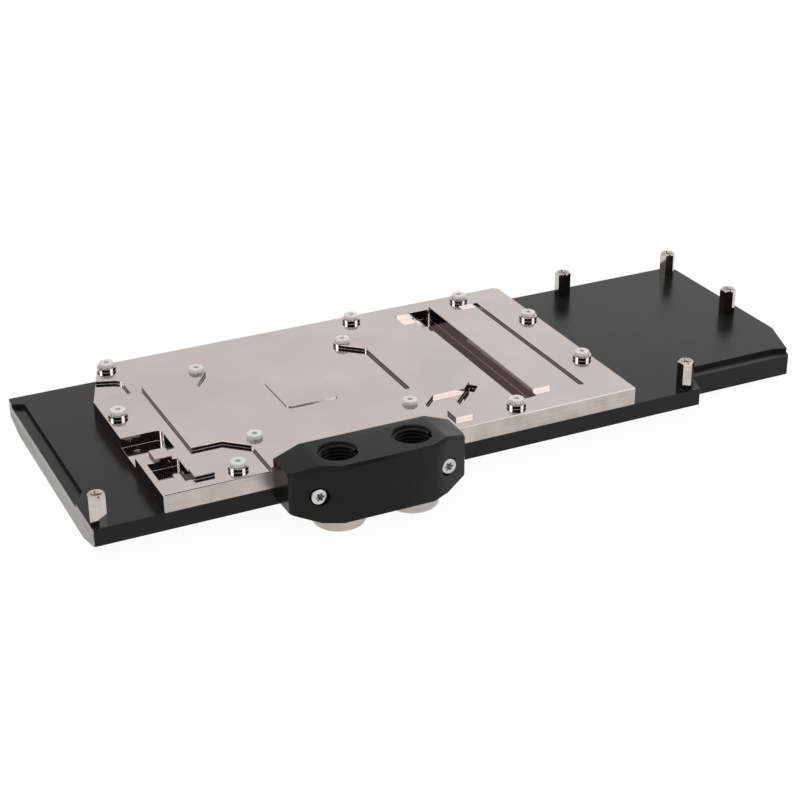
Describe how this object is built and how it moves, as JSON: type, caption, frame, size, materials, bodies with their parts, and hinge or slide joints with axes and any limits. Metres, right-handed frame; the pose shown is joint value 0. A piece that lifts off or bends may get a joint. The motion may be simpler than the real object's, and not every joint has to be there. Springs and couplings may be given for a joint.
{
  "type": "liquid cooling cold plate",
  "caption": "Full-length cold plate for an accelerator card: nickel plated plate on a black cover, side terminal with hose ports.",
  "frame": {"origin": "middle of the chip contact pad, on its face", "axes": "+Z out of the cold side towards the circuit board, +X along the plate's length towards its stepped end, +Y away from the terminal block"},
  "size_m": [0.287, 0.1269, 0.0255],
  "materials": {
    "nickel_plated_copper": "bright nickel over milled copper, brushed edges",
    "black_acetal": "satin, machined",
    "black_acetal_terminal": "satin, machined",
    "nickel_plated_brass": "bright nickel",
    "stainless_steel": "bright",
    "seal_rubber": "matte",
    "washer_plastic": "milky, translucent"
  },
  "bodies": {
    "root": {"cover_plate": "black_acetal", "cold_plate": "nickel_plated_copper", "main_seal": "seal_rubber", "jet_plate": "stainless_steel", "cover_screws": "stainless_steel", "terminal_block": "black_acetal_terminal", "terminal_seal_left": "seal_rubber", "terminal_screw_left": "stainless_steel", "port_plug_left": "nickel_plated_brass", "plug_seal_left": "seal_rubber", "terminal_seal_right": "seal_rubber", "terminal_screw_right": "stainless_steel", "port_plug_right": "nickel_plated_brass", "plug_seal_right": "seal_rubber", "standoff_front_left": "nickel_plated_brass", "standoff_back_middle": "nickel_plated_brass", "standoff_back_right": "nickel_plated_brass", "standoff_right": "nickel_plated_brass", "standoff_front_right": "nickel_plated_brass", "washer_chip_front_left": "washer_plastic", "washer_chip_front_right": "washer_plastic", "washer_chip_back_left": "washer_plastic", "washer_chip_back_right": "washer_plastic", "washer_back_left": "washer_plastic", "washer_left": "washer_plastic", "washer_front_left": "washer_plastic", "washer_back_middle": "washer_plastic", "washer_back_right": "washer_plastic", "washer_right_rear": "washer_plastic", "washer_right_fore": "washer_plastic", "washer_front_right": "washer_plastic"}
  },
  "joints": []
}
